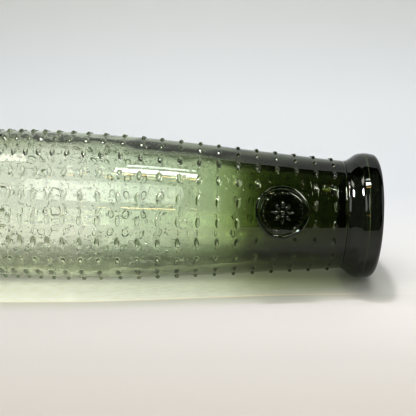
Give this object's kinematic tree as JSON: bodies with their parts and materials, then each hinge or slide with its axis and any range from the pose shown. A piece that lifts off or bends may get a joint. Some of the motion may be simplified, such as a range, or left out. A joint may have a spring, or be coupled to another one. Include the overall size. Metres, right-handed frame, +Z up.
{
  "type": "glass bottle",
  "caption": "Wide-mouthed green glass bottle with a barrel body, rows of raised glass drops, a thick applied lip and a round seal on the neck.",
  "frame": {"origin": "centre of the bottom, on the bottle's axis, in the plane of the face it rests on", "axes": "+Z up along the axis to the mouth; -Y out of the middle of the seal; +X to the right when the seal faces the viewer"},
  "size_m": [0.0852, 0.0852, 0.3],
  "materials": {
    "body_glass": "fire-polished pale green glass, a little wavy inside, with seeds",
    "lip_glass": "thick, smooth, deep green glass",
    "drop_glass": "fire-polished green glass",
    "seal_glass": "pressed, softly rounded green glass"
  },
  "bodies": {
    "root": {"glass_body": "body_glass", "lip_ring": "lip_glass", "drops_belly": "drop_glass", "drops_shoulder": "drop_glass", "drops_neck": "drop_glass", "seal_disc": "seal_glass", "seal_rim": "seal_glass", "seal_beads": "seal_glass", "seal_rosette": "seal_glass"}
  },
  "joints": []
}
